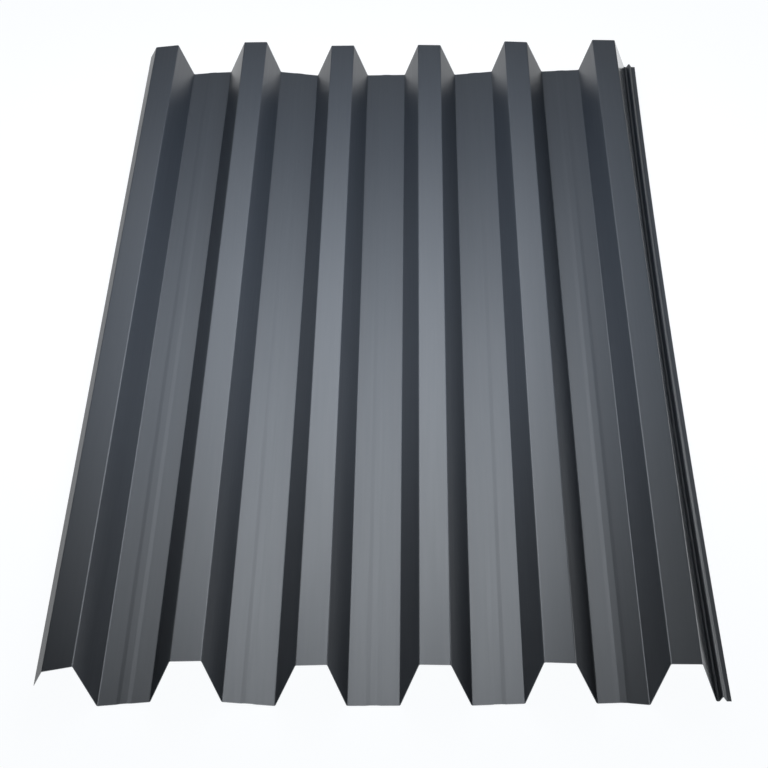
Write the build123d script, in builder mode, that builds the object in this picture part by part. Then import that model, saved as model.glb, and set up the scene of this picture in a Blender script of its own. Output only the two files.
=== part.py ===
from build123d import *
import os

# A roll-formed sheet of coated steel with a trapezoidal section, lying flat with its pans down.
# X runs across the ribs, Y along them and Z up. The origin is under the middle of the sheet,
# at the level of the floor that the lowest pan rests on. All sizes are in millimetres.

# Sheet
LENGTH = 3000.0
THICKNESS = 0.75

# Ribs and pans, measured on the upper face
PITCH = 200.0
CREST_WIDTH = 51.0
PAN_WIDTH = 85.0
RIB_HEIGHT = 72.5
BEND_RADIUS = 3.0

# Shallow stiffener along the middle of each pan
SWAGE_BASE = 25.0
SWAGE_TOP = 11.0
SWAGE_HEIGHT = 0.6
SWAGE_RADIUS = 15.0

# Overlapping edge on the left: a short flange that carries on down the slope of the webs
FLANGE_DROP = 22.0

# Underlapping edge on the right: a steeper web, a short foot, a drainage bead and a lip.
# The bead's height is to its sharp peak, before the peak is rounded.
EDGE_WEB_RUN = 21.0
FOOT_RISE = 6.5
FOOT_WIDTH = 4.5
BEAD_WIDTH = 12.0
BEAD_HEIGHT = 8.5
BEAD_RADIUS = 1.6
LIP_WIDTH = 7.5

# How this sheet lies, rib by rib from the left: some ribs stand off the floor, and some crests
# have swayed sideways over their feet. The free rib on the left leans out over its right foot.
RIB_LIFTS = (1.5, 8.0, 0.0, 0.0, 5.5, 5.0)
RIB_SWAYS = (0.0, 1.0, 0.0, -1.5, -2.0, 1.5)
FREE_RIB_LEAN = 4.5

rib_count = len(RIB_LIFTS)
web_run = (PITCH - CREST_WIDTH - PAN_WIDTH) / 2


def rib_corners(index):
    """Left foot, left shoulder, right shoulder and right foot of one rib, on the upper face."""
    centre = (index - (rib_count - 1) / 2) * PITCH
    base = Vector(centre, THICKNESS + RIB_LIFTS[index] - min(RIB_LIFTS))
    half_crest = CREST_WIDTH / 2
    half_base = half_crest + web_run
    sway = RIB_SWAYS[index]
    tip = sway * web_run / RIB_HEIGHT
    return [
        base + Vector(-half_base, 0),
        base + Vector(sway - half_crest, RIB_HEIGHT - tip),
        base + Vector(sway + half_crest, RIB_HEIGHT + tip),
        base + Vector(half_base, 0),
    ]


def free_rib_corners():
    """The first rib's shoulders and right foot, with the edge of the flange before them."""
    shoulder, far_shoulder, foot = rib_corners(0)[1:]
    flange_run = FLANGE_DROP * web_run / RIB_HEIGHT
    flange_edge = shoulder - Vector(flange_run, FLANGE_DROP)
    leaning = [foot + (corner - foot).rotate(Axis.Z, FREE_RIB_LEAN)
               for corner in (flange_edge, shoulder, far_shoulder)]
    return leaning + [foot]


def swage_corners(start, end):
    """The four corners of the stiffener in the pan between two feet."""
    along = (end - start).normalized()
    up = along.rotate(Axis.Z, 90)
    middle = (start + end) / 2
    return [
        middle - along * SWAGE_BASE / 2,
        middle - along * SWAGE_TOP / 2 + up * SWAGE_HEIGHT,
        middle + along * SWAGE_TOP / 2 + up * SWAGE_HEIGHT,
        middle + along * SWAGE_BASE / 2,
    ]


def underlap_corners(shoulder, rib_foot):
    """Foot, drainage bead and lip outside the last rib."""
    foot = Vector(shoulder.X + EDGE_WEB_RUN, rib_foot.Y + FOOT_RISE)
    bead_start = foot + Vector(FOOT_WIDTH, 0)
    bead_peak = bead_start + Vector(BEAD_WIDTH / 2, BEAD_HEIGHT)
    bead_end = bead_start + Vector(BEAD_WIDTH, 0)
    return [foot, bead_start, bead_peak, bead_end, bead_end + Vector(LIP_WIDTH, 0)]


def upper_face():
    """Corners of the upper face from the left edge to the right, and the radius of each bend."""
    corners = free_rib_corners()
    radii = [BEND_RADIUS] * 3
    for index in range(1, rib_count):
        rib = rib_corners(index)
        corners += swage_corners(corners[-1], rib[0]) + rib
        radii += [SWAGE_RADIUS] * 4 + [BEND_RADIUS] * 4
    shoulder, rib_foot = corners[-2:]
    corners = corners[:-1] + underlap_corners(shoulder, rib_foot)
    radii += [BEAD_RADIUS] * 3
    return corners, radii


corners, radii = upper_face()
middle = Vector((corners[0].X + corners[-1].X) / 2, 0)

with BuildPart() as profiled_sheet:
    with BuildSketch(Plane.XZ) as section:
        with BuildLine() as upper_line:
            FilletPolyline(*[corner - middle for corner in corners], radius=radii)
            offset(amount=THICKNESS, side=Side.RIGHT)
        make_face()
    extrude(amount=LENGTH / 2, both=True)

profiled_sheet.part.label = "profiled_sheet"
os.makedirs("parts", exist_ok=True)
export_step(profiled_sheet.part, "parts/profiled_sheet.step")
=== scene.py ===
import math

import bpy
from mathutils import Matrix, Vector


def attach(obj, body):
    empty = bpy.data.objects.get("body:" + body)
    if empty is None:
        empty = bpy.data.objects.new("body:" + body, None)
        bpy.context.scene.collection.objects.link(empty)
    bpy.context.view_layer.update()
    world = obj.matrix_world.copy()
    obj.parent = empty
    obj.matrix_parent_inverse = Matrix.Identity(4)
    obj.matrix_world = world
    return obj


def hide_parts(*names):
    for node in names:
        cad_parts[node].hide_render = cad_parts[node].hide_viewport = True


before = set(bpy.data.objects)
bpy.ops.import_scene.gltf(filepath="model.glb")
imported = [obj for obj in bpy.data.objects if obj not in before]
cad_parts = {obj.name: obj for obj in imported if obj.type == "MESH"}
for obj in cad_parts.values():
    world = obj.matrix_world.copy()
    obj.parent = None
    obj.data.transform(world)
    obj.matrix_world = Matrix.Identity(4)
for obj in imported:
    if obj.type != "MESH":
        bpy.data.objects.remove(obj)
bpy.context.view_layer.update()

# All sizes are in metres. X runs across the ribs, Y along them and Z up.

# Sheet, as in the part's source
LENGTH = 3.0
THICKNESS = 0.00075
PITCH = 0.200
CREST_WIDTH = 0.051
PAN_WIDTH = 0.085
RIB_HEIGHT = 0.0725
BEND_RADIUS = 0.003
SWAGE_BASE = 0.025
SWAGE_TOP = 0.011
SWAGE_HEIGHT = 0.0006
SWAGE_RADIUS = 0.015
FOOT_RISE = 0.0065
FOOT_WIDTH = 0.0045
BEAD_WIDTH = 0.012
BEAD_HEIGHT = 0.0085
BEAD_RADIUS = 0.0016
LIP_WIDTH = 0.0075

# How the sheet lies, rib by rib from the left, as the photograph shows it. Each value is a pair, for
# the near end (-Y) and the far end (+Y), and changes evenly between the two. The part's source has
# one value for the whole length instead. The stretch is a share of the ribs' height.
RIB_STRETCH = (1.017, 0.999)
RIB_LIFTS = [(0.0, 0.0037), (0.0075, 0.0090), (0.0, 0.0), (0.0003, 0.0009), (0.0035, 0.0082),
             (0.0007, 0.0117)]
RIB_SWAYS = [(0.0040, 0.0020), (0.0010, 0.0006), (0.0014, 0.0005), (-0.0012, -0.0009), (-0.0022, -0.0023),
             (-0.0005, -0.0011)]
FREE_RIB_LEAN = (math.radians(6.75), math.radians(3.84))
PAN_CROWNS = [(0.0, 0.0006), (0.0, 0.0), (0.0, 0.0), (0.0, 0.0), (0.0020, 0.0)]

# The flange of the overlapping edge is a little longer than in the part's source, and more open
FLANGE_LENGTH = 0.028
FLANGE_SLOPE = math.radians(62)

# The outer web of the underlapping edge runs out a little further than in the part's source. The
# edge draws in by the inset at the middle of the length, and less towards both ends.
EDGE_WEB_RUN = 0.0235
EDGE_INSET = 0.0083

# Fineness of the mesh
BEND_STEPS = 6
SWAGE_STEPS = 3
BEAD_STEPS = 6
LENGTH_STEPS = 60

# Places of the materials in the mesh's list
UPPER_FACE = 0
LOWER_FACE = 1
CUT_EDGE = 2

# Coats and bare metal. A pair holds the two ends of a range that a noise spreads over the surface.
COAT_COLOURS = ((0.0240, 0.0295, 0.0385), (0.0260, 0.0315, 0.0405))
COAT_ROUGHNESS = (0.435, 0.465)
COAT_IOR = 1.5
BACK_COLOURS = ((0.36, 0.37, 0.36), (0.40, 0.41, 0.40))
BACK_ROUGHNESS = (0.5, 0.56)
EDGE_COLOURS = ((0.30, 0.31, 0.32), (0.46, 0.47, 0.48))
EDGE_ROUGHNESS = (0.35, 0.5)
EDGE_METALLIC = 0.9
NOISE_RANGE = (0.25, 0.75)
BUMP_STRENGTH = 0.5

# The coat mirrors more sharply where it is seen at a very low angle: from the first of these facing
# values to the second, its roughness falls to this share
GRAZED_FACING = (0.90, 0.92)
GRAZED_SHARE = 0.3

# Floor, and the white that it shows to the camera and to mirroring surfaces
FLOOR_RADIUS = 60
FLOOR_SIDES = 96
FLOOR_COLOURS = ((0.80, 0.80, 0.80), (0.82, 0.82, 0.82))
FLOOR_ROUGHNESS = 0.9
FLOOR_GLOW = 1.09
FLOOR_GLOW_COLOUR = (0.97, 0.985, 1.0)
FLOOR_GLOW_SHARE = 0.9

# Camera
CAMERA_PLACE = (0.0604, -6.94531, 3.00350)
CAMERA_DOWN = math.radians(24.128)
CAMERA_YAW = math.radians(-0.5802)
CAMERA_ROLL = math.radians(-0.3627)
CAMERA_LENS = 181.628
CAMERA_SENSOR = 36.0
CAMERA_REACH = 200

# Softboxes: three that hang level above the sheet, a far one low behind its far end, and a small
# bright one low on its right, whose light reaches only the upper part of the webs that face right.
# A radiance of 1 looks white.
COOL_WHITE = (0.88, 0.935, 1.0)
SIDE_WHITE = (0.92, 0.96, 1.0)
SOFTBOXES = [
    {"name": "wide_softbox", "size": (1.20, 2.25), "radiance": 1.08, "colour": COOL_WHITE,
     "middle": (-0.15, 0.40, 0.50), "aim": (-0.15, 0.40, 0.0)},
    {"name": "top_softbox", "size": (0.70, 2.00), "radiance": 3.30, "colour": COOL_WHITE,
     "middle": (0.0, 0.50, 1.00), "aim": (0.0, 0.50, 0.0)},
    {"name": "near_softbox", "size": (0.80, 2.00), "radiance": 0.25, "colour": COOL_WHITE,
     "middle": (-0.10, -0.50, 0.25), "aim": (-0.10, -0.50, 0.0)},
    {"name": "far_softbox", "size": (8.5, 2.5), "radiance": 1.49, "colour": COOL_WHITE,
     "middle": (0.0, 19.45, 4.67), "aim": (0.0, 0.0, 0.0)},
    {"name": "side_softbox", "size": (0.50, 0.50), "radiance": 11.0, "colour": SIDE_WHITE,
     "middle": (1.60, 0.30, 0.48), "aim": (0.20, -0.40, 0.05)},
]

# The studio round the sheet: a little light from above, on the camera's side, and a pale band along
# the horizon. The strength goes from the first to the second while the closeness to the way, which
# is the cosine of the angle to it, goes over its range.
STUDIO_WHITE = (0.90, 0.945, 1.0)
STUDIO_LIGHTS = [
    {"way": (0, -0.45, 0.9), "closeness": (0.3, 0.9), "strengths": (0.02, 0.08)},
    {"way": (0, 0, 1), "closeness": (0.02, 0.08), "strengths": (0.9, 0.0)},
]

rib_count = len(RIB_LIFTS)
web_run = (PITCH - CREST_WIDTH - PAN_WIDTH) / 2


def turned(vector, angle):
    """A section vector turned anticlockwise."""
    return Matrix.Rotation(angle, 2) @ vector


def between(pair, along):
    """The value at a place along the sheet, 0 at the near end and 1 at the far end."""
    near, far = pair
    return near + (far - near) * along


def rib_corners(index, along):
    """Left foot, left shoulder, right shoulder and right foot of one rib, on the upper face."""
    base = Vector(((index - (rib_count - 1) / 2) * PITCH, THICKNESS + between(RIB_LIFTS[index], along)))
    half_crest = CREST_WIDTH / 2
    half_base = half_crest + web_run
    height = RIB_HEIGHT * between(RIB_STRETCH, along)
    sway = between(RIB_SWAYS[index], along)
    tip = sway * web_run / RIB_HEIGHT
    return [
        base + Vector((-half_base, 0)),
        base + Vector((sway - half_crest, height - tip)),
        base + Vector((sway + half_crest, height + tip)),
        base + Vector((half_base, 0)),
    ]


def free_rib_corners(along):
    """The first rib's shoulders and right foot, with the edge of the flange before them."""
    foot = rib_corners(0, along)[3]
    shoulder, far_shoulder = [foot + turned(corner - foot, between(FREE_RIB_LEAN, along))
                              for corner in rib_corners(0, along)[1:3]]
    flange_edge = shoulder - turned(Vector((FLANGE_LENGTH, 0)), FLANGE_SLOPE)
    return [flange_edge, shoulder, far_shoulder, foot]


def swage_corners(start, end, crown):
    """The four corners of the stiffener in the pan between two feet, on the pan's crown."""
    way = (end - start).normalized()
    up = Vector((-way.y, way.x))
    middle = (start + end) / 2 + up * crown
    return [
        middle - way * SWAGE_BASE / 2,
        middle - way * SWAGE_TOP / 2 + up * SWAGE_HEIGHT,
        middle + way * SWAGE_TOP / 2 + up * SWAGE_HEIGHT,
        middle + way * SWAGE_BASE / 2,
    ]


def underlap_corners(shoulder, rib_foot, along):
    """Foot, drainage bead and lip outside the last rib."""
    inset = EDGE_INSET * (1 - (2 * along - 1) ** 2)
    foot = Vector((shoulder.x + EDGE_WEB_RUN - inset, rib_foot.y + FOOT_RISE))
    bead_start = foot + Vector((FOOT_WIDTH, 0))
    bead_peak = bead_start + Vector((BEAD_WIDTH / 2, BEAD_HEIGHT))
    bead_end = bead_start + Vector((BEAD_WIDTH, 0))
    return [foot, bead_start, bead_peak, bead_end, bead_end + Vector((LIP_WIDTH, 0))]


def upper_corners(along):
    """Corners of the upper face from the left edge to the right, with each bend's radius and steps."""
    corners = free_rib_corners(along)
    bends = [(BEND_RADIUS, BEND_STEPS)] * 3
    for index in range(1, rib_count):
        rib = rib_corners(index, along)
        crown = between(PAN_CROWNS[index - 1], along)
        corners += swage_corners(corners[-1], rib[0], crown) + rib
        bends += [(SWAGE_RADIUS, SWAGE_STEPS)] * 4 + [(BEND_RADIUS, BEND_STEPS)] * 4
    shoulder, rib_foot = corners[-2:]
    corners = corners[:-1] + underlap_corners(shoulder, rib_foot, along)
    bends += [(BEAD_RADIUS, BEAD_STEPS)] * 3
    return corners, bends


def section_middle(along):
    """Half way between the sheet's left and right edges."""
    corners = upper_corners(along)[0]
    return (corners[0].x + corners[-1].x) / 2


def upper_line(along):
    """Points of the upper face with the direction it faces at each, bends rounded."""
    corners, bends = upper_corners(along)
    way = (corners[1] - corners[0]).normalized()
    line = [(corners[0], Vector((-way.y, way.x)))]
    for corner, after, (radius, steps) in zip(corners[1:], corners[2:], bends):
        new_way = (after - corner).normalized()
        turn = math.atan2(way.x * new_way.y - way.y * new_way.x, way.dot(new_way))
        start = corner - way * radius * math.tan(abs(turn) / 2)
        facing = Vector((-way.y, way.x))
        outward = math.copysign(radius, turn)
        centre = start + facing * outward
        for step in range(steps + 1):
            normal = turned(facing, turn * step / steps)
            line.append((centre - normal * outward, normal))
        way = new_way
    line.append((corners[-1], Vector((-way.y, way.x))))
    return line


def sheet_points():
    """Points of both faces and the direction each faces, one station along the length after another:
    the upper face's points from left to right, then the lower face's."""
    ends = (section_middle(0), section_middle(1))
    points = []
    normals = []
    for station in range(LENGTH_STEPS + 1):
        along = station / LENGTH_STEPS
        y = (along - 0.5) * LENGTH
        middle = between(ends, along)
        line = upper_line(along)
        points += [(point.x - middle, y, point.y) for point, normal in line]
        points += [(point.x - middle - normal.x * THICKNESS, y, point.y - normal.y * THICKNESS)
                   for point, normal in line]
        normals += [(normal.x, 0, normal.y) for point, normal in line]
        normals += [(-normal.x, 0, -normal.y) for point, normal in line]
    return points, normals


def sheet_faces(count):
    """Faces between the stations, with the material of each. Each station has this many points on
    its upper face, and as many on its lower face."""
    faces = []
    slots = []
    last = count - 1

    def add(face, slot):
        faces.append(face)
        slots.append(slot)

    for station in range(LENGTH_STEPS):
        here = station * 2 * count
        below = here + count
        there = here + 2 * count
        there_below = there + count
        for k in range(last):
            add((here + k, here + k + 1, there + k + 1, there + k), UPPER_FACE)
            add((below + k + 1, below + k, there_below + k, there_below + k + 1), LOWER_FACE)
        add((below, here, there, there_below), CUT_EDGE)
        add((here + last, below + last, there_below + last, there + last), CUT_EDGE)
    for k in range(last):
        add((k + 1, k, count + k, count + k + 1), CUT_EDGE)
        add((there + k, there + k + 1, there_below + k + 1, there_below + k), CUT_EDGE)
    return faces, slots


def sheet_mesh():
    """The sheet as one closed mesh: upper face, lower face and the four cut edges."""
    points, normals = sheet_points()
    faces, slots = sheet_faces(len(points) // (LENGTH_STEPS + 1) // 2)
    mesh = bpy.data.meshes.new("coated_sheet")
    mesh.from_pydata(points, [], faces)
    mesh.polygons.foreach_set("material_index", slots)
    mesh.polygons.foreach_set("use_smooth", [slot != CUT_EDGE for slot in slots])
    mesh.update()
    loop_normals = []
    for polygon in mesh.polygons:
        for index in polygon.vertices:
            flat = slots[polygon.index] == CUT_EDGE
            loop_normals.append(polygon.normal if flat else normals[index])
    mesh.normals_split_custom_set(loop_normals)
    return mesh


def new_material(name):
    """A node material with its Principled shader."""
    material = bpy.data.materials.new(name)
    material.use_nodes = True
    return material, material.node_tree, material.node_tree.nodes["Principled BSDF"]


def noise_in_place(tree, scale, detail, along=1):
    """Noise in the object's own space. Along the sheet it has only this share of the scale, so a
    small share draws it out into lines."""
    place = tree.nodes.new("ShaderNodeTexCoord")
    mapping = tree.nodes.new("ShaderNodeMapping")
    mapping.inputs["Scale"].default_value = (1, along, 1)
    noise = tree.nodes.new("ShaderNodeTexNoise")
    noise.inputs["Scale"].default_value = scale
    noise.inputs["Detail"].default_value = detail
    tree.links.new(place.outputs["Object"], mapping.inputs["Vector"])
    tree.links.new(mapping.outputs["Vector"], noise.inputs["Vector"])
    return noise.outputs["Fac"]


def spread(tree, value, levels, over=NOISE_RANGE):
    """A node whose result goes from the first level to the second over a range of the value."""
    node = tree.nodes.new("ShaderNodeMapRange")
    node.inputs["From Min"].default_value, node.inputs["From Max"].default_value = over
    node.inputs["To Min"].default_value, node.inputs["To Max"].default_value = levels
    tree.links.new(value, node.inputs["Value"])
    return node


def calculated(tree, operation, first, second):
    """The result of one operation on two values, of which the second may be a plain number."""
    node = tree.nodes.new("ShaderNodeMath")
    node.operation = operation
    tree.links.new(first, node.inputs[0])
    if isinstance(second, float):
        node.inputs[1].default_value = second
    else:
        tree.links.new(second, node.inputs[1])
    return node.outputs[0]


def sharper_when_grazed(tree, roughness):
    """The roughness, less of it where the surface is seen at a very low angle."""
    angle = tree.nodes.new("ShaderNodeLayerWeight")
    share = spread(tree, angle.outputs["Facing"], (1.0, GRAZED_SHARE), over=GRAZED_FACING)
    return calculated(tree, "MULTIPLY", roughness, share.outputs["Result"])


def two_colours(tree, value, colours):
    """A colour between two, by a noise."""
    ramp = tree.nodes.new("ShaderNodeValToRGB")
    for element, position, colour in zip(ramp.color_ramp.elements, NOISE_RANGE, colours):
        element.position = position
        element.color = colour + (1,)
    tree.links.new(value, ramp.inputs["Fac"])
    return ramp.outputs["Color"]


def bump(tree, height, distance, normal=None):
    """A bump node, on top of another one's normal where there is one."""
    node = tree.nodes.new("ShaderNodeBump")
    node.inputs["Distance"].default_value = distance
    node.inputs["Strength"].default_value = BUMP_STRENGTH
    tree.links.new(height, node.inputs["Height"])
    if normal:
        tree.links.new(normal, node.inputs["Normal"])
    return node.outputs["Normal"]


def coat_material():
    """Satin dark grey polyester coat, with its faint orange peel and the rolls' lines along it."""
    material, tree, shader = new_material("coat_upper")
    lines = noise_in_place(tree, scale=260, detail=2, along=0.012)
    patches = noise_in_place(tree, scale=9, detail=3, along=0.25)
    peel = noise_in_place(tree, scale=900, detail=1)
    tree.links.new(two_colours(tree, patches, COAT_COLOURS), shader.inputs["Base Color"])
    satin = spread(tree, lines, COAT_ROUGHNESS).outputs["Result"]
    tree.links.new(sharper_when_grazed(tree, satin), shader.inputs["Roughness"])
    lined = bump(tree, lines, distance=0.00002)
    peeled = bump(tree, peel, distance=0.00001, normal=lined)
    tree.links.new(peeled, shader.inputs["Normal"])
    shader.inputs["IOR"].default_value = COAT_IOR
    return material


def back_material():
    """Matt light grey coat on the underside."""
    material, tree, shader = new_material("coat_back")
    patches = noise_in_place(tree, scale=12, detail=3, along=0.25)
    peel = noise_in_place(tree, scale=700, detail=1)
    tree.links.new(two_colours(tree, patches, BACK_COLOURS), shader.inputs["Base Color"])
    tree.links.new(spread(tree, patches, BACK_ROUGHNESS).outputs["Result"], shader.inputs["Roughness"])
    tree.links.new(bump(tree, peel, distance=0.00001), shader.inputs["Normal"])
    return material


def edge_material():
    """Sheared bare steel and zinc at the cut edges."""
    material, tree, shader = new_material("cut_edge")
    grain = noise_in_place(tree, scale=1500, detail=2)
    tree.links.new(two_colours(tree, grain, EDGE_COLOURS), shader.inputs["Base Color"])
    tree.links.new(spread(tree, grain, EDGE_ROUGHNESS).outputs["Result"], shader.inputs["Roughness"])
    tree.links.new(bump(tree, grain, distance=0.00002), shader.inputs["Normal"])
    shader.inputs["Metallic"].default_value = EDGE_METALLIC
    return material


def background_seen(tree):
    """1 for rays that show the background: straight from the camera, mirrored or refracted."""
    path = tree.nodes.new("ShaderNodeLightPath")
    total = path.outputs["Is Camera Ray"]
    for name in ("Is Glossy Ray", "Is Transmission Ray"):
        total = calculated(tree, "MAXIMUM", total, path.outputs[name])
    return total


def floor_material():
    """White floor that keeps a light shadow."""
    material, tree, shader = new_material("studio_floor")
    paper = noise_in_place(tree, scale=40, detail=3)
    tree.links.new(two_colours(tree, paper, FLOOR_COLOURS), shader.inputs["Base Color"])
    shader.inputs["Roughness"].default_value = FLOOR_ROUGHNESS
    shader.inputs["Specular IOR Level"].default_value = 0.0
    glow = tree.nodes.new("ShaderNodeEmission")
    glow.inputs["Strength"].default_value = FLOOR_GLOW
    glow.inputs["Color"].default_value = FLOOR_GLOW_COLOUR + (1,)
    mix = tree.nodes.new("ShaderNodeMixShader")
    tree.links.new(calculated(tree, "MULTIPLY", background_seen(tree), FLOOR_GLOW_SHARE), mix.inputs[0])
    tree.links.new(shader.outputs[0], mix.inputs[1])
    tree.links.new(glow.outputs[0], mix.inputs[2])
    tree.links.new(mix.outputs[0], tree.nodes["Material Output"].inputs["Surface"])
    return material


def make_floor():
    """A wide round floor."""
    bpy.ops.mesh.primitive_circle_add(vertices=FLOOR_SIDES, radius=FLOOR_RADIUS, fill_type="NGON",
                                      location=(0, 0, 0))
    floor = bpy.context.object
    floor.name = "floor"
    floor.data.materials.append(floor_material())


def make_camera():
    """The camera, placed and turned as the photograph's."""
    data = bpy.data.cameras.new("camera")
    data.sensor_width = CAMERA_SENSOR
    data.lens = CAMERA_LENS
    data.clip_end = CAMERA_REACH
    camera = bpy.data.objects.new("camera", data)
    bpy.context.scene.collection.objects.link(camera)
    camera.matrix_world = (Matrix.Translation(CAMERA_PLACE)
                           @ Matrix.Rotation(-CAMERA_YAW, 4, "Z")
                           @ Matrix.Rotation(math.pi / 2 - CAMERA_DOWN, 4, "X")
                           @ Matrix.Rotation(CAMERA_ROLL, 4, "Z"))
    bpy.context.scene.camera = camera


def make_softbox(box):
    """A soft light that faces the point it is aimed at."""
    width, depth = box["size"]
    data = bpy.data.lights.new(box["name"], "AREA")
    data.shape = "RECTANGLE"
    data.size = width
    data.size_y = depth
    data.energy = box["radiance"] * math.pi * width * depth
    data.color = box["colour"]
    light = bpy.data.objects.new(box["name"], data)
    middle = Vector(box["middle"])
    facing = (middle - Vector(box["aim"])).to_track_quat("Z", "Y")
    light.matrix_world = Matrix.Translation(middle) @ facing.to_matrix().to_4x4()
    light.visible_camera = False
    bpy.context.scene.collection.objects.link(light)


def make_world():
    """The dim studio round the sheet, with the brighter of its two lights in each direction."""
    world = bpy.data.worlds.new("studio")
    world.use_nodes = True
    bpy.context.scene.world = world
    tree = world.node_tree
    background = tree.nodes["Background"]
    place = tree.nodes.new("ShaderNodeTexCoord")
    levels = []
    for studio_light in STUDIO_LIGHTS:
        closeness = tree.nodes.new("ShaderNodeVectorMath")
        closeness.operation = "DOT_PRODUCT"
        closeness.inputs[1].default_value = Vector(studio_light["way"]).normalized()
        tree.links.new(place.outputs["Generated"], closeness.inputs[0])
        level = spread(tree, closeness.outputs["Value"], studio_light["strengths"],
                       over=studio_light["closeness"])
        level.interpolation_type = "SMOOTHSTEP"
        levels.append(level.outputs["Result"])
    brighter = calculated(tree, "MAXIMUM", levels[0], levels[1])
    tree.links.new(brighter, background.inputs["Strength"])
    background.inputs["Color"].default_value = STUDIO_WHITE + (1,)


make_camera()
make_world()
for box in SOFTBOXES:
    make_softbox(box)
make_floor()

sheet = bpy.data.objects.new("coated_sheet", sheet_mesh())
bpy.context.scene.collection.objects.link(sheet)
for material in (coat_material(), back_material(), edge_material()):
    sheet.data.materials.append(material)
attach(sheet, "root")
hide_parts("profiled_sheet")

bpy.context.scene.view_settings.view_transform = "Standard"
